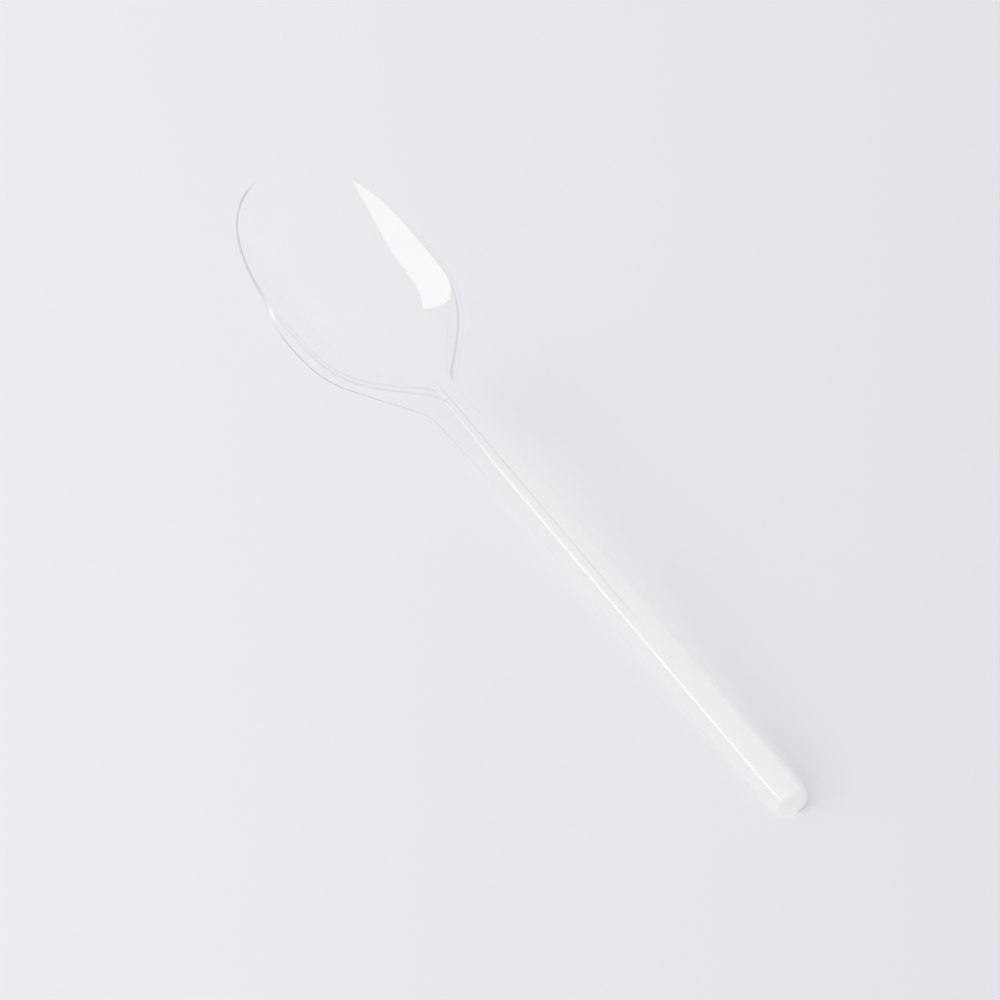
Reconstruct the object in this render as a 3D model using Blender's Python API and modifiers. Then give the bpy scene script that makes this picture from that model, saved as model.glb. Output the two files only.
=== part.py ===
"""Clear disposable spoon, injection-moulded in one piece, in metres with +Z up.

The spoon lies bowl up: +X runs from the bowl's tip to the end of the handle, and Z = 0 is the table.
Its skin is one loft of cross-sections along X. Half of each section is worked out, from the middle of
the top face, over the rim or the handle's edge, down the flank and back along the underside, and a
Mirror modifier makes the other half. Along the loft, "run" is the distance from the bowl's tip.
"""

import math

import bmesh
import bpy

# Overall sizes.
LENGTH = 0.164
BOWL_LENGTH = 0.060  # tip to neck
BOWL_WIDTH = 0.0318  # over the rim, without the flank
BOWL_WIDEST = 0.029  # from the tip
BOWL_DEPTH = 0.0082
WALL = 0.0012
REST_FLAT_DEPTH = 0.0001  # how much of the bowl's round underside is cut off flat, to stand on

# The rim is a narrow land. Behind the widest point it broadens, and both sides meet at the neck.
RIM_LAND = 0.0003
BACK_LAND = 0.0006
CAVITY_MARGIN = 0.0025  # from the end of the bowl's hollow to the neck
FRONT_FULLNESS = 2.3  # power of the superellipse in front of the widest point
SHOULDER_FULLNESS = 3.5  # power of the curve behind it
HOLLOW_POWER = 2.3  # how flat the bowl's bottom is across
ROUND_POWER = 2.0  # the same where the hollow is shallow
CAVITY_POWER = 3.0  # how late the hollow narrows towards the neck
DEPTH_POWER = 2.3  # how late it rises towards the neck
CAVITY_EASE = 1.3  # how softly both run out
HOLLOW_LEAST = 0.55  # least half width of the hollow's outline, as a share of the top's

# A tongue carries the handle's top face a little way down the back of the bowl.
TONGUE_HEIGHT = 0.0006
TONGUE_LENGTH = 0.0175  # from its start to the end of the hollow
TONGUE_FADE = 0.004  # over which it sinks into the top face
TONGUE_WIDTH = 0.0030
TONGUE_SPREAD = 0.34  # how much wider it grows for each length that it runs into the bowl

# A low rib stiffens the underside of the neck and of the first half of the handle.
RIB_HEIGHT = 0.0006
RIB_WIDTH = 0.0011
RIB_LEAD = 0.010  # how far it reaches under the bowl from the neck
RIB_TAIL = 0.060  # how far it reaches along the handle
RIB_FADE = 0.012
SIDE_POWER = 4  # how steep the sides of the tongue and of the rib are

# The handle is an upturned channel. Its flanks run on round the back of the bowl and fade out.
NECK_TOP_WIDTH = 0.0033
HANDLE_TOP_WIDTH = 0.0044
FLANK_START = 0.017  # where the flank begins beside the bowl, from the tip
FLANK_FULL = 0.031  # where it has grown to its full size there
NECK_SPREAD = 0.014  # length in front of the neck over which it spreads to the handle's flank
BOWL_FLANK = 0.0021  # how far the flank stands out beside the bowl
NECK_FLANK = 0.0031
HANDLE_FLANK = 0.0022
BOWL_FLANK_DROP = 0.0007  # how far the flank reaches down from the rim
NECK_DROP = 0.0048
HANDLE_DROP = 0.0036
FLANK_FOOT = 0.0012  # width of the flank's flat lower edge
NECK_FADE = 0.020  # length behind the neck over which the handle takes its plain section
BEND_REACH = 0.008  # half the length over which the handle bends down from the rim's plane

# The end of the handle is rounded, slopes down to the table in a short face, and is closed by a wall.
END_ROUND = 0.005
END_FULLNESS = 2.6
END_WALL = 0.0022
END_LEAD = 0.007  # the last stretch of the handle, in which the sections lie closer together
END_SLOPE = 0.0020  # length of the sloping face
END_EDGE = 0.0007  # thickness that is left at the foot of it
END_SHARE = 0.85  # half width of the face at its foot, as a share of the base's

# Softened edges.
TOP_EDGE = 0.0007  # of the rim
HANDLE_EDGE = 0.0012
FOOT_EDGE = 0.0004
INNER_EDGE = 0.0004
EDGE_SHARE = 0.45  # the most of a side that one softened edge may take
LEAST_FOOT = 0.8  # least half width to the foot's inner edge, as a share of the base's
LEAST_CHANNEL = 0.75  # least half width of the channel inside, as a share of the top's

# How finely the loft is divided.
HOLLOW_STEPS = 12
FRONT_STEPS = 20
BACK_STEPS = 22
NECK_STEPS = 8
HANDLE_STEPS = 4
END_STEPS = 12
CORNER_STEPS = 3
WALL_GAP = 0.0001  # between the last open section and the first closed one

RIM_TOP = BOWL_DEPTH + WALL - REST_FLAT_DEPTH
CAVITY_END = BOWL_LENGTH - CAVITY_MARGIN
TONGUE_START = CAVITY_END - TONGUE_LENGTH
RIB_START = BOWL_LENGTH - RIB_LEAD
RIB_END = BOWL_LENGTH + RIB_TAIL
NECK_START = BOWL_LENGTH - NECK_SPREAD
STRAIGHT_END = LENGTH - END_LEAD
BASE_HALF = HANDLE_TOP_WIDTH / 2 + HANDLE_FLANK


def mix(a, b, share):
    return a + (b - a) * share


def eased(value, start, end):
    """0 before start, 1 after end, and a smooth S between them."""
    share = min(max((value - start) / (end - start), 0.0), 1.0)
    return share * share * (3 - 2 * share)


def shoulder(run):
    """1 at the bowl's widest point and 0 at the neck: the curve of the bowl's back."""
    share = min(max((run - BOWL_WIDEST) / (BOWL_LENGTH - BOWL_WIDEST), 0.0), 1.0)
    return (1 - share**SHOULDER_FULLNESS) ** 2


def front(run):
    """0 at the tip and 1 from the widest point on: the curve of the bowl's front."""
    share = min(max((BOWL_WIDEST - run) / BOWL_WIDEST, 0.0), 1.0)
    return max(1 - share**FRONT_FULLNESS, 0.0) ** (1 / FRONT_FULLNESS)


def end_round(run):
    """1 along the handle, falling to 0 round its end."""
    share = min(max((run - LENGTH + END_ROUND) / END_ROUND, 0.0), 1.0)
    return max(1 - share**END_FULLNESS, 0.0) ** (1 / END_FULLNESS)


def end_slope(run):
    """0 along the handle, and rising to 1 down the sloping face of its end."""
    return min(max((run - LENGTH + END_SLOPE) / END_SLOPE, 0.0), 1.0)


def along_handle(run):
    """0 up to the neck, and 1 where the handle has its plain section."""
    return eased(run, BOWL_LENGTH, BOWL_LENGTH + NECK_FADE)


def flank_growth(run):
    return eased(run, FLANK_START, FLANK_FULL)


def neck_growth(run):
    return eased(run, NECK_START, BOWL_LENGTH)


def land(run):
    return mix(RIM_LAND, BACK_LAND, flank_growth(run))


def top_half_width(run):
    """From the middle to the outer edge of the rim, or of the handle's top face."""
    if run <= BOWL_WIDEST:
        return BOWL_WIDTH / 2 * front(run)
    neck = mix(BOWL_WIDTH / 2, NECK_TOP_WIDTH / 2, 1 - shoulder(run))
    plain = mix(neck, HANDLE_TOP_WIDTH / 2, along_handle(run))
    return mix(plain, END_SHARE * BASE_HALF * end_round(run), end_slope(run))


def base_half_width(run):
    """From the middle to the outer edge of the flank's foot."""
    beside_bowl = mix(BOWL_FLANK, NECK_FLANK, neck_growth(run)) * flank_growth(run)
    flank = mix(beside_bowl, HANDLE_FLANK, along_handle(run))
    if run <= LENGTH - END_ROUND:
        return top_half_width(run) + flank
    return BASE_HALF * end_round(run)


def drop(run):
    """How far the foot lies below the top face. In front it is the rim's plain edge."""
    beside_bowl = mix(BOWL_FLANK_DROP, NECK_DROP, neck_growth(run))
    plain = mix(beside_bowl, mix(HANDLE_DROP, END_EDGE, end_slope(run)), along_handle(run))
    return mix(WALL, plain, flank_growth(run))


def top_height(run):
    """Height of the rim, and of the handle's top face, which slopes down until the end rests on the table."""
    slope = (RIM_TOP - HANDLE_DROP) / (LENGTH - BOWL_LENGTH)
    past = run - BOWL_LENGTH
    if past <= -BEND_REACH:
        return RIM_TOP
    if past >= BEND_REACH:
        return RIM_TOP - slope * past - (HANDLE_DROP - END_EDGE) * end_slope(run)
    return RIM_TOP - slope * (past + BEND_REACH) ** 2 / (4 * BEND_REACH)


def hollow_half_width(run):
    """From the middle to the inner edge of the rim's land."""
    outer = top_half_width(run)
    share = min(max((run - BOWL_WIDEST) / (CAVITY_END - BOWL_WIDEST), 0.0), 1.0)
    cavity = (BOWL_WIDTH / 2 - RIM_LAND) * (1 - share**CAVITY_POWER) ** CAVITY_EASE
    if run <= BOWL_WIDEST:
        cavity = outer - RIM_LAND
    return max(min(cavity, outer - land(run)), HOLLOW_LEAST * outer)


def hollow_depth(run):
    """Depth of the bowl below the rim, along its middle."""
    if run <= BOWL_WIDEST:
        return BOWL_DEPTH * front(run) ** 2
    share = min((run - BOWL_WIDEST) / (CAVITY_END - BOWL_WIDEST), 1.0)
    return BOWL_DEPTH * (1 - share**DEPTH_POWER) ** CAVITY_EASE


def tongue(run, across):
    """How much the tongue raises the back of the bowl."""
    rise = eased(run, TONGUE_START, CAVITY_END) * (1 - eased(run, CAVITY_END - TONGUE_FADE, CAVITY_END))
    width = TONGUE_WIDTH + TONGUE_SPREAD * (CAVITY_END - run)
    return TONGUE_HEIGHT * rise * math.exp(-((2 * across / width) ** SIDE_POWER))


def rib(run, across):
    """How much the rib stands down from the underside."""
    rise = eased(run, RIB_START, RIB_START + RIB_FADE) * (1 - eased(run, RIB_END - RIB_FADE, RIB_END))
    return RIB_HEIGHT * rise * math.exp(-((2 * across / RIB_WIDTH) ** SIDE_POWER))


def softened(before, corner, after, reach):
    """Points of a curve that rounds a corner, kept to less than half of each side of it."""

    def towards(other):
        side = math.dist(corner, other)
        share = min(reach, EDGE_SHARE * side) / side if side > 0 else 0.0
        return tuple(c + (o - c) * share for c, o in zip(corner, other))

    start, end = towards(before), towards(after)
    points = []
    for step in range(CORNER_STEPS + 1):
        t = step / CORNER_STEPS
        weights = ((1 - t) ** 2, 2 * t * (1 - t), t**2)
        points.append(tuple(sum(w * p[i] for w, p in zip(weights, (start, corner, end))) for i in (0, 1)))
    return points


def section(run):
    """Half a cross-section as (y, z) points, from the middle of the top face to the middle of the underside."""
    hollow = hollow_half_width(run)
    outer = top_half_width(run)
    base = base_half_width(run)
    top = top_height(run)
    foot = top - drop(run)
    depth = hollow_depth(run)
    power = mix(ROUND_POWER, HOLLOW_POWER, depth / BOWL_DEPTH)
    open_below = run < LENGTH - END_WALL

    upper = []
    for step in range(HOLLOW_STEPS + 1):
        share = math.sin(math.pi / 2 * step / HOLLOW_STEPS)
        across = share * hollow
        upper.append((across, top - depth * (1 - share**power) + tongue(run, across)))

    under = top - WALL if open_below else foot
    foot_width = mix(RIM_LAND / 3, FLANK_FOOT, flank_growth(run))
    foot_end = max(base - foot_width, LEAST_FOOT * base)
    inner_foot = (foot_end, foot)
    channel = max(min(outer - RIM_LAND, foot_end - RIM_LAND / 3), LEAST_CHANNEL * outer)
    inner_corner = (channel, under)
    corners = [upper[-1], (outer, top), (base, foot), inner_foot, inner_corner, (hollow, under)]
    reaches = (mix(TOP_EDGE, HANDLE_EDGE, along_handle(run)), FOOT_EDGE, FOOT_EDGE, INNER_EDGE)
    edge = []
    for number, reach in enumerate(reaches, start=1):
        edge += softened(corners[number - 1], corners[number], corners[number + 1], reach)

    lower = []
    for across, z in reversed(upper):
        raised = max(z - WALL - rib(run, across), 0.0)
        lower.append((across, raised if open_below else foot))
    return upper + edge + lower


def spread(start, end, steps):
    """Evenly spaced runs after start, up to end."""
    return [mix(start, end, (step + 1) / steps) for step in range(steps)]


def stations():
    """The runs at which the loft has a cross-section, closer together where the outline turns."""
    runs = [BOWL_WIDEST * (1 - math.cos(math.pi / 2 * step / FRONT_STEPS)) for step in range(FRONT_STEPS + 1)]
    runs += spread(BOWL_WIDEST, BOWL_LENGTH, BACK_STEPS)
    runs += spread(BOWL_LENGTH, BOWL_LENGTH + NECK_FADE, NECK_STEPS)
    runs += spread(BOWL_LENGTH + NECK_FADE, STRAIGHT_END, HANDLE_STEPS)
    runs += spread(STRAIGHT_END, LENGTH - END_ROUND, 2)
    turn = [LENGTH - END_ROUND * (1 - math.sin(math.pi / 2 * (s + 1) / END_STEPS)) for s in range(END_STEPS)]
    wall = LENGTH - END_WALL
    turn = [run for run in turn if abs(run - wall) > 2 * WALL_GAP]
    return sorted(runs + turn + [wall - WALL_GAP, wall])


def half_skin():
    """The half of the spoon on the +Y side, open at the plane Y = 0."""
    mesh = bmesh.new()
    rows = []
    for run in stations():
        rows.append([mesh.verts.new((run - LENGTH / 2, y, z)) for y, z in section(run)])
    for near, far in zip(rows, rows[1:]):
        for i in range(len(near) - 1):
            mesh.faces.new((near[i], far[i], far[i + 1], near[i + 1]))
    bmesh.ops.remove_doubles(mesh, verts=mesh.verts, dist=2e-6)
    bmesh.ops.recalc_face_normals(mesh, faces=mesh.faces)
    return mesh


def clear_plastic():
    material = bpy.data.materials.new("clear_polystyrene")
    material.use_nodes = True
    shader = material.node_tree.nodes["Principled BSDF"]
    shader.inputs["Base Color"].default_value = (0.96, 0.97, 0.98, 1.0)
    shader.inputs["Roughness"].default_value = 0.04
    shader.inputs["Metallic"].default_value = 0.0
    shader.inputs["IOR"].default_value = 1.59
    shader.inputs["Transmission Weight"].default_value = 1.0
    return material


def make_spoon(collection):
    mesh = bpy.data.meshes.new("spoon")
    skin = half_skin()
    skin.to_mesh(mesh)
    skin.free()
    mesh.materials.append(clear_plastic())
    mesh.shade_smooth()
    mesh.set_sharp_from_angle(angle=math.radians(40))
    spoon = bpy.data.objects.new("spoon", mesh)
    collection.objects.link(spoon)
    mirror = spoon.modifiers.new("other_half", "MIRROR")
    mirror.use_axis = (False, True, False)
    mirror.use_mirror_merge = True
    mirror.merge_threshold = 0.000002
    return spoon


def main():
    for old in list(bpy.data.objects):
        bpy.data.objects.remove(old, do_unlink=True)
    collection = bpy.data.collections.new("disposable_spoon")
    bpy.context.scene.collection.children.link(collection)
    make_spoon(collection)


main()
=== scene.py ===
"""Looks of the clear disposable spoon: polished clear plastic on a white table, lit by one soft box.

The spoon is one loft of cross-sections along X, with the sizes and formulas of its CAD solid and finer
steps, so that what is seen and mirrored in the clear wall stays smooth. "run" is the distance from the
bowl's tip. Metres, +Z up, and Z = 0 is the table.
"""

import math

import bmesh
import bpy
from mathutils import Matrix, Vector


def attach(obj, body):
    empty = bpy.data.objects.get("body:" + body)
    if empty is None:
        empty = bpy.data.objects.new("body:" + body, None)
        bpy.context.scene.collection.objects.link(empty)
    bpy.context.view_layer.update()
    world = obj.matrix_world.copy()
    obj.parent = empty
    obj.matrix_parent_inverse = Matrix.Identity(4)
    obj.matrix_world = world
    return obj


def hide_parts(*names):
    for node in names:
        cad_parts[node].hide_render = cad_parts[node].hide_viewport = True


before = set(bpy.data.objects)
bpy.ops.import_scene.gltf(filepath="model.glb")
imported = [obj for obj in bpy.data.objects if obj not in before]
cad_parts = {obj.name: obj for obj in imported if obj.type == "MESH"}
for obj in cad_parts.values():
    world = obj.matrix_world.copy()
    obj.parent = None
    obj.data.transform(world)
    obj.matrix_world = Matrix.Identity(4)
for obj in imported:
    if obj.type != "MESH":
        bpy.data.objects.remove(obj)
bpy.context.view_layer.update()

# Overall sizes. All sizes down to the softened edges are those of the CAD source.
LENGTH = 0.164
BOWL_LENGTH = 0.060  # tip to neck
BOWL_WIDTH = 0.0318  # over the rim, without the flank
BOWL_WIDEST = 0.029  # from the tip
BOWL_DEPTH = 0.0082
WALL = 0.0012
REST_FLAT_DEPTH = 0.0001  # how much of the bowl's round underside is cut off flat, to stand on

# The rim is a narrow land. Behind the widest point it broadens, and both sides meet at the neck.
RIM_LAND = 0.0003
BACK_LAND = 0.0006
LEAST_LAND = RIM_LAND / 3
CAVITY_MARGIN = 0.0025  # from the end of the bowl's hollow to the neck
FRONT_FULLNESS = 2.3  # power of the superellipse in front of the widest point
SHOULDER_FULLNESS = 3.5  # power of the curve behind it
HOLLOW_POWER = 2.3  # how flat the bowl's bottom is across
ROUND_POWER = 2.0  # the same where the hollow is shallow
CAVITY_POWER = 3.0  # how late the hollow narrows towards the neck
DEPTH_POWER = 2.3  # how late it rises towards the neck
CAVITY_EASE = 1.3  # how softly both run out
HOLLOW_LEAST = 0.55  # least half width of the hollow's outline, as a share of the top's

# A tongue carries the handle's top face a little way down the back of the bowl.
TONGUE_HEIGHT = 0.0006
TONGUE_LENGTH = 0.0175  # from its start to the end of the hollow
TONGUE_FADE = 0.004  # over which it sinks into the top face
TONGUE_WIDTH = 0.0030
TONGUE_SPREAD = 0.34  # how much wider it grows for each length that it runs into the bowl

# A low rib stiffens the underside of the neck and of the first half of the handle.
RIB_HEIGHT = 0.0006
RIB_WIDTH = 0.0011
RIB_LEAD = 0.010  # how far it reaches under the bowl from the neck
RIB_TAIL = 0.060  # how far it reaches along the handle
RIB_FADE = 0.012
SIDE_POWER = 4  # how steep the sides of the tongue and of the rib are

# The handle is an upturned channel. Its flanks run on round the back of the bowl and fade out.
NECK_TOP_WIDTH = 0.0033
HANDLE_TOP_WIDTH = 0.0044
FLANK_START = 0.017  # where the flank begins beside the bowl, from the tip
FLANK_FULL = 0.031  # where it has grown to its full size there
NECK_SPREAD = 0.014  # length in front of the neck over which it spreads to the handle's flank
BOWL_FLANK = 0.0021  # how far the flank stands out beside the bowl
NECK_FLANK = 0.0031
HANDLE_FLANK = 0.0022
BOWL_FLANK_DROP = 0.0007  # how far the flank reaches down from the rim
NECK_DROP = 0.0048
HANDLE_DROP = 0.0036
FLANK_FOOT = 0.0012  # width of the flank's flat lower edge
NECK_FADE = 0.020  # length behind the neck over which the handle takes its plain section
BEND_REACH = 0.008  # half the length over which the handle bends down from the rim's plane

# The end of the handle is rounded, slopes down to the table in a short face, and is closed by a wall.
END_ROUND = 0.005
END_FULLNESS = 2.6
END_WALL = 0.0022
END_LEAD = 0.007  # the last stretch of the handle, in which the sections lie closer together
END_SLOPE = 0.0020  # length of the sloping face
END_EDGE = 0.0007  # thickness that is left at the foot of it
END_SHARE = 0.85  # half width of the face at its foot, as a share of the base's

# Softened edges.
TOP_EDGE = 0.0007  # of the rim
HANDLE_EDGE = 0.0012  # of the handle's top face
FOOT_EDGE = 0.0004
INNER_EDGE = 0.0004
EDGE_SHARE = 0.45  # the most of a side that one softened edge may take
LEAST_FOOT = 0.8  # least half width to the foot's inner edge, as a share of the base's
LEAST_CHANNEL = 0.75  # least half width of the channel inside, as a share of the top's

# How finely the loft is divided.
HOLLOW_STEPS = 48
FRONT_STEPS = 64
BACK_STEPS = 72
NECK_STEPS = 28
HANDLE_STEPS = 30
LEAD_STEPS = 4
END_STEPS = 30
CORNER_STEPS = 7
WALL_GAP = 0.0001  # between the last open section and the first closed one
MERGE_DISTANCE = 1e-6
SHARP_ANGLE = math.radians(40)  # faces that meet at more than this show a crisp edge

RIM_TOP = BOWL_DEPTH + WALL - REST_FLAT_DEPTH
CAVITY_END = BOWL_LENGTH - CAVITY_MARGIN
TONGUE_START = CAVITY_END - TONGUE_LENGTH
RIB_START = BOWL_LENGTH - RIB_LEAD
RIB_END = BOWL_LENGTH + RIB_TAIL
NECK_START = BOWL_LENGTH - NECK_SPREAD
STRAIGHT_END = LENGTH - END_LEAD
BASE_HALF = HANDLE_TOP_WIDTH / 2 + HANDLE_FLANK
# Places of the hollow's points, as shares of its half width.
HOLLOW_SHARES = [math.sin(math.pi / 2 * step / HOLLOW_STEPS) for step in range(HOLLOW_STEPS + 1)]

# Camera: the photograph's direction, from far away, as in a photograph taken with a long lens.
CAMERA_AZIMUTH = math.radians(51.59)
CAMERA_ELEVATION = math.radians(65)
CAMERA_DISTANCE = 3.0
CAMERA_LENS = 567.5
CAMERA_SENSOR = 36.0
CAMERA_ASIDE = -0.005245  # from the line through the spoon's middle, to the right and up in the picture
CAMERA_RAISED = 0.000275
CAMERA_REACH = 10.0

# Light: one soft box on the left, in a pale room that is a little darker near the horizon.
BOX_AZIMUTH = math.radians(-112.2)
BOX_ELEVATION = math.radians(41.7)
BOX_ROLL = math.radians(-105)
BOX_DISTANCE = 0.57
BOX_ASIDE = 0.345
BOX_WIDTH = 0.39
BOX_HEIGHT = 0.60
BOX_RADIANCE = 2.25
BOX_COLOUR = (1.0, 1.0, 0.86)
ROOM_COLOUR = (0.985, 0.985, 1.0, 1.0)
ROOM_HORIZON = 0.9  # brightness at the horizon and below it
ROOM_ZENITH = 1.0
ROOM_FULL_HEIGHT = 0.35  # sine of the elevation at which the room reaches its zenith's brightness

# The table, with painted shade: its colour gets a little darker from the camera's left to its right, away from
# the soft box.
FLOOR_LEFT = (0.779, 0.777, 0.808, 1.0)
FLOOR_RIGHT = (0.748, 0.736, 0.768, 1.0)
FLOOR_AZIMUTH = math.radians(51.6)  # along which it gets darker
FLOOR_START = -0.05
FLOOR_END = 0.11
FLOOR_ROUGHNESS = 0.9
FLOOR_GLOSS = 0.0
FLOOR_SIZE = 3.0
FLOOR_GAP = 0.0001  # the table lies this far below the spoon, so that their faces don't coincide

# The plastic, as the camera sees it.
PLASTIC_TINT = (0.995, 0.993, 0.99, 1.0)
PLASTIC_IOR = 1.59
PLASTIC_ROUGHNESS = 0.07
STRAIGHT_AFTER = 0  # rays that have met more surfaces than this go straight on through the wall

# The plastic, as the light on the table sees it.
SHADOW_CLEAR = 1.005  # share of the light that each face lets down to the table, met square on
SHADOW_EDGE = 1.0  # the same where the light grazes it
SHADOW_EDGE_START = 0.5  # how grazing the light is where that share begins to change
GRAZING_BLEND = 0.5
SHADOW_FLANK = 0.25  # share of the light that the shaded flank lets down
WHITE = (1.0, 1.0, 1.0, 1.0)
# Painted light: below the handle the plastic lets down more light than falls on it, a brighter pool on the
# table in place of light that the real handle bends there.
HANDLE_GLOW = (1.105, 1.105, 1.08, 1.0)  # how much the handle gathers the light below it
FAR_GLOW = 0.4  # how much of that there is below the far half, which is the +Y one

# Painted shade: dark lines painted into the plastic's colour along its edges, in place of the dark edges that
# bent and mirrored light shows in clear plastic. 1 gives the full painted shade.
PAINTED_EDGE_SHADE = (0.3, 0.3, 0.32, 1.0)
RIM_DARK = 0.55  # the near side of the rim's front
RIM_SIDE_START = 0.0005  # half widths of the bowl between which the front's line fades in
RIM_SIDE_FULL = 0.006
RIM_DARK_END = 0.024  # where the flank's own lines have taken over from it
REAR_TOP_DARK = 0.3  # the rim's top edge beside the flank
REAR_INNER_DARK = 0.3  # the hollow's edge
REAR_FOOT_DARK = 0.8  # the flank's foot
FAR_TOP_SHARE = 0.4  # how much of the top edge's line the far side shows
FAR_INNER_DARK = 0.6  # the hollow's edge on the far side, close to the neck
FAR_INNER_START = 0.040
FAR_INNER_FULL = 0.046
FAR_FLANK_DARK = 0.13  # the far flank, at the end of the handle
HANDLE_FOOT_DARK = 0.25
END_DARK = 0.18  # the sloping face
END_DARK_START = 1.2  # in lengths of the sloping face, from the end
END_DARK_FULL = 0.8
RIB_DARK = 0.3
RIB_LINE_WIDTH = 0.00012
INNER_LINE_POINTS = 4  # how many points of the hollow its edge line covers
TOP_LINE_POWER = 3  # how narrow the top edge's line is


def mix(a, b, share):
    return a + (b - a) * share


def eased(value, start, end):
    """0 before start, 1 after end, and a smooth S between them."""
    share = min(max((value - start) / (end - start), 0.0), 1.0)
    return share * share * (3 - 2 * share)


def shoulder(run):
    """1 at the bowl's widest point and 0 at the neck: the curve of the bowl's back."""
    share = min(max((run - BOWL_WIDEST) / (BOWL_LENGTH - BOWL_WIDEST), 0.0), 1.0)
    return (1 - share**SHOULDER_FULLNESS) ** 2


def front(run):
    """0 at the tip and 1 from the widest point on: the curve of the bowl's front."""
    share = min(max((BOWL_WIDEST - run) / BOWL_WIDEST, 0.0), 1.0)
    return max(1 - share**FRONT_FULLNESS, 0.0) ** (1 / FRONT_FULLNESS)


def end_round(run):
    """1 along the handle, falling to 0 round its end."""
    share = min(max((run - LENGTH + END_ROUND) / END_ROUND, 0.0), 1.0)
    return max(1 - share**END_FULLNESS, 0.0) ** (1 / END_FULLNESS)


def end_slope(run):
    """0 along the handle, and rising to 1 down the sloping face of its end."""
    return min(max((run - LENGTH + END_SLOPE) / END_SLOPE, 0.0), 1.0)


def along_handle(run):
    """0 up to the neck, and 1 where the handle has its plain section."""
    return eased(run, BOWL_LENGTH, BOWL_LENGTH + NECK_FADE)


def flank_growth(run):
    return eased(run, FLANK_START, FLANK_FULL)


def neck_growth(run):
    return eased(run, NECK_START, BOWL_LENGTH)


def land(run):
    return mix(RIM_LAND, BACK_LAND, flank_growth(run))


def top_half_width(run):
    """From the middle to the outer edge of the rim, or of the handle's top face."""
    if run <= BOWL_WIDEST:
        return BOWL_WIDTH / 2 * front(run)
    neck = mix(BOWL_WIDTH / 2, NECK_TOP_WIDTH / 2, 1 - shoulder(run))
    plain = mix(neck, HANDLE_TOP_WIDTH / 2, along_handle(run))
    return mix(plain, END_SHARE * BASE_HALF * end_round(run), end_slope(run))


def base_half_width(run):
    """From the middle to the outer edge of the flank's foot."""
    beside_bowl = mix(BOWL_FLANK, NECK_FLANK, neck_growth(run)) * flank_growth(run)
    flank = mix(beside_bowl, HANDLE_FLANK, along_handle(run))
    if run <= LENGTH - END_ROUND:
        return top_half_width(run) + flank
    return BASE_HALF * end_round(run)


def drop(run):
    """How far the foot lies below the top face. In front it is the rim's plain edge."""
    beside_bowl = mix(BOWL_FLANK_DROP, NECK_DROP, neck_growth(run))
    plain = mix(beside_bowl, mix(HANDLE_DROP, END_EDGE, end_slope(run)), along_handle(run))
    return mix(WALL, plain, flank_growth(run))


def top_height(run):
    """Height of the rim, and of the handle's top face, which slopes down until the end rests on the table."""
    slope = (RIM_TOP - HANDLE_DROP) / (LENGTH - BOWL_LENGTH)
    past = run - BOWL_LENGTH
    if past <= -BEND_REACH:
        return RIM_TOP
    if past >= BEND_REACH:
        return RIM_TOP - slope * past - (HANDLE_DROP - END_EDGE) * end_slope(run)
    return RIM_TOP - slope * (past + BEND_REACH) ** 2 / (4 * BEND_REACH)


def hollow_half_width(run):
    """From the middle to the inner edge of the rim's land."""
    outer = top_half_width(run)
    share = min(max((run - BOWL_WIDEST) / (CAVITY_END - BOWL_WIDEST), 0.0), 1.0)
    cavity = (BOWL_WIDTH / 2 - RIM_LAND) * (1 - share**CAVITY_POWER) ** CAVITY_EASE
    if run <= BOWL_WIDEST:
        cavity = outer - RIM_LAND
    return max(min(cavity, outer - land(run)), HOLLOW_LEAST * outer)


def hollow_depth(run):
    """Depth of the bowl below the rim, along its middle."""
    if run <= BOWL_WIDEST:
        return BOWL_DEPTH * front(run) ** 2
    share = min((run - BOWL_WIDEST) / (CAVITY_END - BOWL_WIDEST), 1.0)
    return BOWL_DEPTH * (1 - share**DEPTH_POWER) ** CAVITY_EASE


def tongue(run, across):
    """How much the tongue raises the back of the bowl."""
    rise = eased(run, TONGUE_START, CAVITY_END) * (1 - eased(run, CAVITY_END - TONGUE_FADE, CAVITY_END))
    width = TONGUE_WIDTH + TONGUE_SPREAD * (CAVITY_END - run)
    return TONGUE_HEIGHT * rise * math.exp(-((2 * across / width) ** SIDE_POWER))


def rib_growth(run):
    return eased(run, RIB_START, RIB_START + RIB_FADE) * (1 - eased(run, RIB_END - RIB_FADE, RIB_END))


def rib(run, across):
    """How much the rib stands down from the underside."""
    return RIB_HEIGHT * rib_growth(run) * math.exp(-((2 * across / RIB_WIDTH) ** SIDE_POWER))


def softened(before, corner, after, reach):
    """Points of a curve that rounds a corner, kept to less than half of each side of it."""

    def towards(other):
        side = math.dist(corner, other)
        share = min(reach, EDGE_SHARE * side) / side if side > 0 else 0.0
        return tuple(c + (o - c) * share for c, o in zip(corner, other))

    start, end = towards(before), towards(after)
    points = []
    for step in range(CORNER_STEPS + 1):
        t = step / CORNER_STEPS
        weights = ((1 - t) ** 2, 2 * t * (1 - t), t**2)
        points.append(tuple(sum(w * p[i] for w, p in zip(weights, (start, corner, end))) for i in (0, 1)))
    return points


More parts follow.
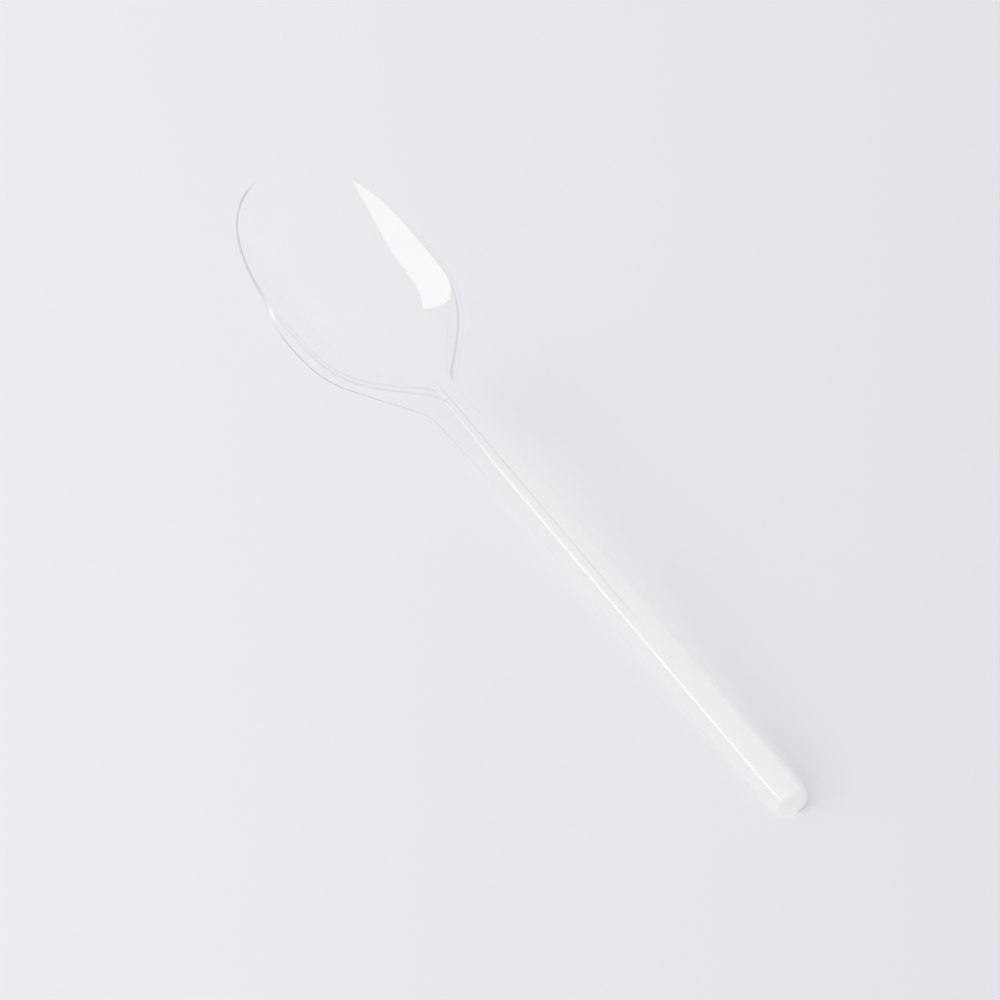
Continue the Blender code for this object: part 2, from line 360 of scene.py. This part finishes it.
def section(run):
    """Half a cross-section as (y, z) points, from the middle of the top face to the middle of the underside."""
    hollow = hollow_half_width(run)
    outer = top_half_width(run)
    base = base_half_width(run)
    top = top_height(run)
    foot = top - drop(run)
    depth = hollow_depth(run)
    power = mix(ROUND_POWER, HOLLOW_POWER, depth / BOWL_DEPTH)
    open_below = run < LENGTH - END_WALL

    upper = []
    for share in HOLLOW_SHARES:
        across = share * hollow
        upper.append((across, top - depth * (1 - share**power) + tongue(run, across)))

    under = top - WALL if open_below else foot
    foot_width = mix(LEAST_LAND, FLANK_FOOT, flank_growth(run))
    foot_end = max(base - foot_width, LEAST_FOOT * base)
    inner_foot = (foot_end, foot)
    channel = max(min(outer - RIM_LAND, foot_end - LEAST_LAND), LEAST_CHANNEL * outer)
    inner_corner = (channel, under)
    corners = [upper[-1], (outer, top), (base, foot), inner_foot, inner_corner, (hollow, under)]
    reaches = (mix(TOP_EDGE, HANDLE_EDGE, along_handle(run)), FOOT_EDGE, FOOT_EDGE, INNER_EDGE)
    edge = []
    for number, reach in enumerate(reaches, start=1):
        edge += softened(corners[number - 1], corners[number], corners[number + 1], reach)

    lower = []
    for across, z in reversed(upper):
        raised = max(z - WALL - rib(run, across), 0.0)
        lower.append((across, raised if open_below else foot))
    return upper + edge + lower


def spread(start, end, steps):
    """Evenly spaced runs after start, up to end."""
    return [mix(start, end, (step + 1) / steps) for step in range(steps)]


def stations():
    """The runs at which the loft has a cross-section, closer together where the outline turns."""
    runs = [BOWL_WIDEST * (1 - math.cos(math.pi / 2 * step / FRONT_STEPS)) for step in range(FRONT_STEPS + 1)]
    runs += spread(BOWL_WIDEST, BOWL_LENGTH, BACK_STEPS)
    runs += spread(BOWL_LENGTH, BOWL_LENGTH + NECK_FADE, NECK_STEPS)
    runs += spread(BOWL_LENGTH + NECK_FADE, STRAIGHT_END, HANDLE_STEPS)
    runs += spread(STRAIGHT_END, LENGTH - END_ROUND, LEAD_STEPS)
    turn = [LENGTH - END_ROUND * (1 - math.sin(math.pi / 2 * (s + 1) / END_STEPS)) for s in range(END_STEPS)]
    wall = LENGTH - END_WALL
    turn = [run for run in turn if abs(run - wall) > 2 * WALL_GAP]
    return sorted(runs + turn + [wall - WALL_GAP, wall])


def rim_dark(run, side):
    """How much painted shade the rim's front carries: dark on the near side and clear on the far one."""
    if side > 0:
        return 0.0
    across = top_half_width(run)
    return RIM_DARK * eased(across, RIM_SIDE_START, RIM_SIDE_FULL) * (1 - eased(run, FLANK_START, RIM_DARK_END))


def hollow_edge_dark(run, side):
    """How much painted shade the line along the hollow's edge carries."""
    dark = max(rim_dark(run, side), REAR_INNER_DARK * flank_growth(run))
    if side > 0:
        dark = mix(dark, FAR_INNER_DARK, eased(run, FAR_INNER_START, FAR_INNER_FULL))
    return dark * (1 - eased(run, CAVITY_END - TONGUE_FADE / 2, CAVITY_END))


def rib_shades(run, side):
    """How much painted shade the underside's points carry: one dark line along the near side of the rib."""
    if side > 0:
        return [0.0] * len(HOLLOW_SHARES)
    hollow = hollow_half_width(run)
    grown = RIB_DARK * rib_growth(run)
    shades = []
    for share in reversed(HOLLOW_SHARES):
        off_line = hollow * share - RIB_WIDTH / 2
        shades.append(grown * math.exp(-((off_line / RIB_LINE_WIDTH) ** 2)))
    return shades


def edge_shades(run, side):
    """How much painted shade each point of a section carries, as dark lines along its edges."""
    rear = flank_growth(run)
    handle = along_handle(run)
    rim = rim_dark(run, side)
    inner = hollow_edge_dark(run, side)
    top = mix(REAR_TOP_DARK * rear * (FAR_TOP_SHARE if side > 0 else 1.0), 0.0, handle)
    foot = max(rim, mix(REAR_FOOT_DARK * rear if side < 0 else 0.0, HANDLE_FOOT_DARK, handle))
    flank = FAR_FLANK_DARK * eased(run, BOWL_LENGTH, LENGTH) if side > 0 else 0.0
    end_face = END_DARK * eased(run, LENGTH - END_SLOPE * END_DARK_START, LENGTH - END_SLOPE * END_DARK_FULL)

    shades = [end_face] * (len(HOLLOW_SHARES) - INNER_LINE_POINTS) + [max(inner, end_face)] * INNER_LINE_POINTS
    for step in range(CORNER_STEPS + 1):
        line = math.sin(math.pi * step / CORNER_STEPS) ** TOP_LINE_POWER
        shades.append(max(top * line, rim, end_face, flank if step > CORNER_STEPS / 2 else 0.0))
    for step in range(CORNER_STEPS + 1):
        shades.append(max(foot * math.sin(math.pi * step / CORNER_STEPS), end_face, flank))
    return shades + [0.0] * (2 * (CORNER_STEPS + 1)) + rib_shades(run, side)


def flank_shades(run, side):
    """How much of the flank's shadow each point of a section casts: only the far flank casts one."""
    amount = neck_growth(run) if side > 0 else 0.0
    hollow = [0.0] * len(HOLLOW_SHARES)
    edge = [amount] * (2 * (CORNER_STEPS + 1))
    inside = [0.0] * (2 * (CORNER_STEPS + 1))
    return hollow + edge + inside + hollow


def make_skin():
    """The loft of both sides, with the marks that the plastic's material reads on its points."""
    mesh = bmesh.new()
    # edge_shade holds the painted shade of the dark edge lines; handle_share marks where the handle lets down
    # painted light.
    edge = mesh.verts.layers.float.new("edge_shade")
    flank = mesh.verts.layers.float.new("flank_shade")
    handle = mesh.verts.layers.float.new("handle_share")
    for side in (1, -1):
        rows = []
        for run in stations():
            row = []
            for (y, z), dark, cast in zip(section(run), edge_shades(run, side), flank_shades(run, side)):
                vert = mesh.verts.new((run - LENGTH / 2, side * y, z))
                vert[edge] = dark
                vert[flank] = cast
                vert[handle] = along_handle(run) * (1.0 if side < 0 else FAR_GLOW)
                row.append(vert)
            rows.append(row)
        for near, far in zip(rows, rows[1:]):
            for i in range(len(near) - 1):
                mesh.faces.new((near[i], far[i], far[i + 1], near[i + 1]))
    bmesh.ops.remove_doubles(mesh, verts=mesh.verts, dist=MERGE_DISTANCE)
    bmesh.ops.recalc_face_normals(mesh, faces=mesh.faces)
    return mesh


def feed(tree, socket, value):
    """Sets a node's input, or links another node's output to it."""
    if isinstance(value, bpy.types.NodeSocket):
        tree.links.new(value, socket)
    else:
        socket.default_value = value


def product_node(tree, first, second):
    node = tree.nodes.new("ShaderNodeMath")
    node.operation = "MULTIPLY"
    feed(tree, node.inputs[0], first)
    feed(tree, node.inputs[1], second)
    return node.outputs["Value"]


def range_node(tree, value, start, end, low, high):
    """low at start, high at end, and an even change between them."""
    node = tree.nodes.new("ShaderNodeMapRange")
    feed(tree, node.inputs["Value"], value)
    node.inputs["From Min"].default_value = start
    node.inputs["From Max"].default_value = end
    node.inputs["To Min"].default_value = low
    node.inputs["To Max"].default_value = high
    return node


def colour_node(tree, share, clear, marked):
    """The first colour where the share is 0, and the second one where it is 1."""
    node = tree.nodes.new("ShaderNodeMix")
    node.data_type = "RGBA"
    feed(tree, node.inputs[0], share)
    node.inputs[6].default_value = clear
    node.inputs[7].default_value = marked
    return node.outputs[2]


def mark_node(tree, name):
    """A mark that the loft stores on its points."""
    node = tree.nodes.new("ShaderNodeAttribute")
    node.attribute_name = name
    return node.outputs["Fac"]


def see_through_node(tree, colour):
    node = tree.nodes.new("ShaderNodeBsdfTransparent")
    feed(tree, node.inputs["Color"], colour)
    return node.outputs["BSDF"]


def choice_node(tree, share, first, second):
    """The first shader where the share is 0, and the second one where it is 1."""
    node = tree.nodes.new("ShaderNodeMixShader")
    feed(tree, node.inputs["Fac"], share)
    feed(tree, node.inputs[1], first)
    feed(tree, node.inputs[2], second)
    return node.outputs["Shader"]


def shadow_colour(tree):
    """What each face lets down to the table: nearly all, less by the flank's mark and more by the handle's."""
    leaving = tree.nodes.new("ShaderNodeNewGeometry").outputs["Backfacing"]
    entering = tree.nodes.new("ShaderNodeMath")
    entering.operation = "SUBTRACT"
    entering.inputs[0].default_value = 1.0
    feed(tree, entering.inputs[1], leaving)

    grazing = tree.nodes.new("ShaderNodeLayerWeight")
    grazing.inputs["Blend"].default_value = GRAZING_BLEND
    face = range_node(tree, grazing.outputs["Facing"], SHADOW_EDGE_START, 1.0, SHADOW_CLEAR, SHADOW_EDGE)
    face.interpolation_type = "SMOOTHSTEP"
    cast = product_node(tree, entering.outputs["Value"], mark_node(tree, "flank_shade"))
    flank = range_node(tree, cast, 0.0, 1.0, 1.0, SHADOW_FLANK)
    passed = product_node(tree, face.outputs["Result"], flank.outputs["Result"])

    # Painted light: faces left from inside the handle let through more light than reaches them.
    gathered = product_node(tree, leaving, mark_node(tree, "handle_share"))
    brightened = tree.nodes.new("ShaderNodeVectorMath")
    brightened.operation = "MULTIPLY"
    feed(tree, brightened.inputs[0], passed)
    feed(tree, brightened.inputs[1], colour_node(tree, gathered, WHITE, HANDLE_GLOW))
    return brightened.outputs["Vector"]


def clear_plastic():
    """Clear glossy plastic that lets the light on the table through, so that its shadow stays pale."""
    material = bpy.data.materials.new("clear_plastic")
    material.use_nodes = True
    tree = material.node_tree
    shader = tree.nodes["Principled BSDF"]
    shader.inputs["Base Color"].default_value = PLASTIC_TINT
    shader.inputs["Roughness"].default_value = PLASTIC_ROUGHNESS
    shader.inputs["IOR"].default_value = PLASTIC_IOR
    shader.inputs["Transmission Weight"].default_value = 1.0
    # Painted shade: the edge_shade mark turns the plastic's own tint towards the dark edge colour, in lines
    # along its edges.
    tint_and_painted_shade = colour_node(tree, mark_node(tree, "edge_shade"), PLASTIC_TINT, PAINTED_EDGE_SHADE)
    feed(tree, shader.inputs["Base Color"], tint_and_painted_shade)

    path = tree.nodes.new("ShaderNodeLightPath")
    inside = tree.nodes.new("ShaderNodeMath")
    inside.operation = "GREATER_THAN"
    inside.inputs[1].default_value = STRAIGHT_AFTER
    feed(tree, inside.inputs[0], path.outputs["Ray Depth"])
    seen = choice_node(tree, inside.outputs["Value"], shader.outputs["BSDF"], see_through_node(tree, tint_and_painted_shade))

    towards_light = tree.nodes.new("ShaderNodeMath")
    towards_light.operation = "MAXIMUM"
    feed(tree, towards_light.inputs[0], path.outputs["Is Shadow Ray"])
    feed(tree, towards_light.inputs[1], path.outputs["Is Diffuse Ray"])
    passing = see_through_node(tree, shadow_colour(tree))
    surface = choice_node(tree, towards_light.outputs["Value"], seen, passing)
    feed(tree, tree.nodes["Material Output"].inputs["Surface"], surface)
    return material


def make_spoon():
    mesh = bpy.data.meshes.new("clear_spoon")
    skin = make_skin()
    skin.to_mesh(mesh)
    skin.free()
    mesh.materials.append(clear_plastic())
    mesh.shade_smooth()
    mesh.set_sharp_from_angle(angle=SHARP_ANGLE)
    spoon = bpy.data.objects.new("clear_spoon", mesh)
    bpy.context.scene.collection.objects.link(spoon)
    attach(spoon, "root")
    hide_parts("spoon")


def white_table():
    """A dull white with painted shade: it gets evenly darker from the camera's left to its right, away from the
    soft box.
    """
    material = bpy.data.materials.new("white_table")
    material.use_nodes = True
    tree = material.node_tree
    shader = tree.nodes["Principled BSDF"]
    across = tree.nodes.new("ShaderNodeVectorMath")
    across.operation = "DOT_PRODUCT"
    across.inputs[1].default_value = (math.cos(FLOOR_AZIMUTH), math.sin(FLOOR_AZIMUTH), 0.0)
    feed(tree, across.inputs[0], tree.nodes.new("ShaderNodeTexCoord").outputs["Object"])
    share = range_node(tree, across.outputs["Value"], FLOOR_START, FLOOR_END, 0.0, 1.0)
    feed(tree, shader.inputs["Base Color"], colour_node(tree, share.outputs["Result"], FLOOR_LEFT, FLOOR_RIGHT))
    shader.inputs["Roughness"].default_value = FLOOR_ROUGHNESS
    shader.inputs["Specular IOR Level"].default_value = FLOOR_GLOSS
    return material


def make_floor():
    mesh = bpy.data.meshes.new("table")
    half = FLOOR_SIZE / 2
    low = -FLOOR_GAP
    corners = [(-half, -half, low), (half, -half, low), (half, half, low), (-half, half, low)]
    mesh.from_pydata(corners, [], [(0, 1, 2, 3)])
    mesh.materials.append(white_table())
    table = bpy.data.objects.new("table", mesh)
    bpy.context.scene.collection.objects.link(table)


def make_camera():
    data = bpy.data.cameras.new("camera")
    data.lens = CAMERA_LENS
    data.sensor_width = CAMERA_SENSOR
    data.clip_end = CAMERA_REACH
    level = math.cos(CAMERA_ELEVATION)
    aside, back = math.sin(CAMERA_AZIMUTH), -math.cos(CAMERA_AZIMUTH)
    to_camera = Vector((aside * level, back * level, math.sin(CAMERA_ELEVATION)))
    right = Vector((math.cos(CAMERA_AZIMUTH), math.sin(CAMERA_AZIMUTH), 0))
    up = to_camera.cross(right)
    place = to_camera * CAMERA_DISTANCE + right * CAMERA_ASIDE + up * CAMERA_RAISED
    camera = bpy.data.objects.new("camera", data)
    aim = (-to_camera).to_track_quat("-Z", "Y").to_matrix().to_4x4()
    camera.matrix_world = Matrix.Translation(place) @ aim
    bpy.context.scene.collection.objects.link(camera)
    bpy.context.scene.camera = camera


def make_soft_box():
    """A rectangular soft box, turned about the line from the spoon and moved aside in its own plane."""
    data = bpy.data.lights.new("soft_box", "AREA")
    data.shape = "RECTANGLE"
    data.size = BOX_WIDTH
    data.size_y = BOX_HEIGHT
    data.energy = BOX_RADIANCE * math.pi * BOX_WIDTH * BOX_HEIGHT
    data.color = BOX_COLOUR
    box = bpy.data.objects.new("soft_box", data)
    level = math.cos(BOX_ELEVATION)
    away = Vector((math.cos(BOX_AZIMUTH) * level, math.sin(BOX_AZIMUTH) * level, math.sin(BOX_ELEVATION)))
    side = Vector((0, 0, 1)).cross(away).normalized()
    up = away.cross(side)
    wide = side * math.cos(BOX_ROLL) + up * math.sin(BOX_ROLL)
    high = away.cross(wide)
    place = away * BOX_DISTANCE + wide * BOX_ASIDE
    box.matrix_world = Matrix.Translation(place) @ Matrix((wide, high, away)).transposed().to_4x4()
    bpy.context.scene.collection.objects.link(box)


def make_room():
    """A pale surround, a little darker towards the horizon."""
    world = bpy.data.worlds.new("pale_room")
    bpy.context.scene.world = world
    world.use_nodes = True
    tree = world.node_tree
    background = tree.nodes["Background"]
    background.inputs["Color"].default_value = ROOM_COLOUR
    split = tree.nodes.new("ShaderNodeSeparateXYZ")
    feed(tree, split.inputs["Vector"], tree.nodes.new("ShaderNodeTexCoord").outputs["Generated"])
    strength = range_node(tree, split.outputs["Z"], 0.0, ROOM_FULL_HEIGHT, ROOM_HORIZON, ROOM_ZENITH)
    feed(tree, background.inputs["Strength"], strength.outputs["Result"])


make_camera()
make_spoon()
make_floor()
make_soft_box()
make_room()

bpy.context.scene.view_settings.view_transform = "Standard"
